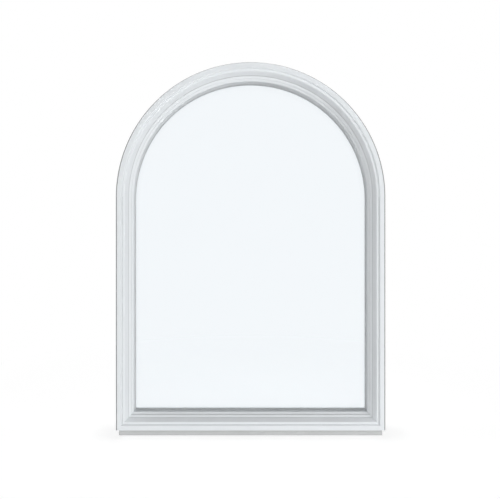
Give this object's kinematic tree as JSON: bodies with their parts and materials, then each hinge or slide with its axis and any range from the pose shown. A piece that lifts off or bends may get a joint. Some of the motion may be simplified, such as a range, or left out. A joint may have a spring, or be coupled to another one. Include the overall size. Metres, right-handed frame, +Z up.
{
  "type": "fixed arched top window frame",
  "caption": "White vinyl fixed window with a half-round head on straight jambs, stepped recessed face, glazing beads, sealed double pane and a low sub-sill.",
  "frame": {"origin": "on the floor, under the middle of the window's overall width and depth", "axes": "+X to the right as seen from the front, +Y from the front face towards the room, +Z up"},
  "size_m": [0.9018, 0.0888, 1.2572],
  "materials": {
    "white_vinyl": "satin",
    "sub_sill_vinyl": "satin",
    "grey_gasket": "matt",
    "clear_glass": "clear",
    "spacer_aluminium": "satin",
    "black_sealant": "matt",
    "block_plastic": "matt"
  },
  "bodies": {
    "root": {"frame_arch": "white_vinyl", "frame_left_jamb": "white_vinyl", "frame_right_jamb": "white_vinyl", "frame_sill": "white_vinyl", "trim_arch": "white_vinyl", "trim_left_jamb": "white_vinyl", "trim_right_jamb": "white_vinyl", "trim_sill": "white_vinyl", "bead_arch": "white_vinyl", "bead_left_jamb": "white_vinyl", "bead_right_jamb": "white_vinyl", "bead_sill": "white_vinyl", "front_gasket": "grey_gasket", "back_gasket": "grey_gasket", "front_pane": "clear_glass", "back_pane": "clear_glass", "spacer_bar": "spacer_aluminium", "edge_seal": "black_sealant", "setting_blocks": "block_plastic", "sub_sill": "sub_sill_vinyl", "sub_sill_cap_left": "sub_sill_vinyl", "sub_sill_cap_right": "sub_sill_vinyl"}
  },
  "joints": []
}
